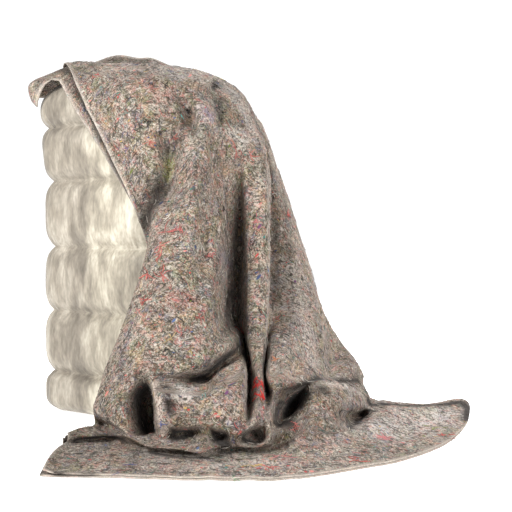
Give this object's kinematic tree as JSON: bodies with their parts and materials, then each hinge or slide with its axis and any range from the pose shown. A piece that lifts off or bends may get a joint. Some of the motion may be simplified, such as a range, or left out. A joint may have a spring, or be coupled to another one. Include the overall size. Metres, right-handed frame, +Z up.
{
  "type": "moving blanket draped over a plain bale",
  "caption": "Felt moving blanket folded double, draped over a plain upright bale, its lower end crumpled and spread on the floor.",
  "frame": {"origin": "a point on the bale's flat underside near its middle, on the floor", "axes": "+Z up; -Y towards the side where the blanket's end spreads over the floor; +X towards the blanket's folded side"},
  "size_m": [0.9113, 0.8431, 0.757],
  "materials": {
    "recycled_felt": "matt mottled felt",
    "bale_wrap": "matt plain cloth"
  },
  "bodies": {
    "root": {"blanket": "recycled_felt", "bale": "bale_wrap"}
  },
  "joints": []
}
